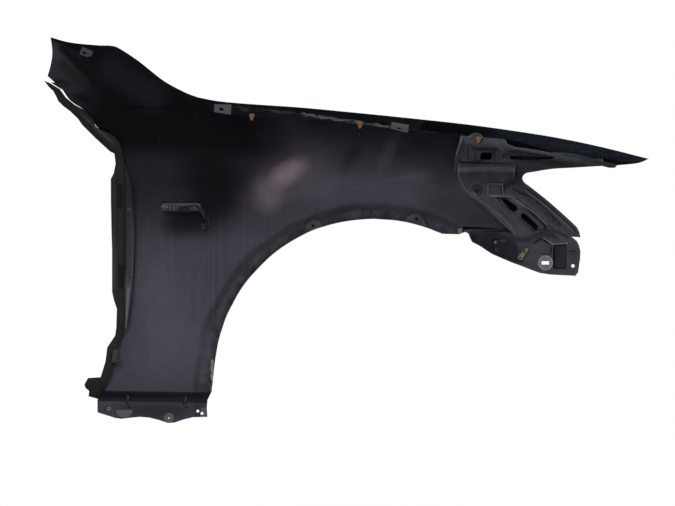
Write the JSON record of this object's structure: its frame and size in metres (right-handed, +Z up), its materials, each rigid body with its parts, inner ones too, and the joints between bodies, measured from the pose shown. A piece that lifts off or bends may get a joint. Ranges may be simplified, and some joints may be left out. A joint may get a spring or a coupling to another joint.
{
  "type": "car fender",
  "caption": "Left front fender of a car in pressed sheet metal, with hood gap wall, wheel arch lip, front stampings, rear rubber seal, side lamp and clips.",
  "frame": {"origin": "middle of the upper face of the front bolt tab on the ledge under the hood edge, beside its hole", "axes": "+X forward along the car, +Y outboard to the painted side, +Z up"},
  "size_m": [1.234, 0.3138, 0.79],
  "materials": {
    "panel_paint": "dark primer and body colour, satin inside",
    "stamping_paint": "dark grey dip coat, dusty",
    "seal_rubber": "weathered, dull",
    "dark_plastic": "matt",
    "orange_plastic": "dusty",
    "yellow_plastic": "satin",
    "white_plastic": "satin",
    "beige_plastic": "dusty",
    "clear_film": "creased, greyish",
    "lamp_plastic": "satin",
    "socket_plastic": "satin",
    "lamp_lens": "clear gloss"
  },
  "bodies": {
    "root": {"fender_panel": "panel_paint", "front_reinforcement": "stamping_paint", "headlamp_bracket": "stamping_paint", "bumper_side_bracket": "stamping_paint", "rear_seal": "seal_rubber", "seal_end_pad": "seal_rubber", "seal_clip_upper": "dark_plastic", "seal_clip_middle": "dark_plastic", "seal_clip_lower": "dark_plastic", "hood_clip_seat": "stamping_paint", "hood_clip_rear": "orange_plastic", "hood_clip_middle": "orange_plastic", "hood_clip_front": "orange_plastic", "spring_nut": "yellow_plastic", "bumper_grommet": "white_plastic", "screw_grommet": "dark_plastic", "lip_clip": "beige_plastic", "spear_film": "clear_film", "side_lamp_housing": "lamp_plastic", "side_lamp_socket": "socket_plastic", "side_lamp_lever": "lamp_plastic", "side_lamp_lens": "lamp_lens"}
  },
  "joints": []
}
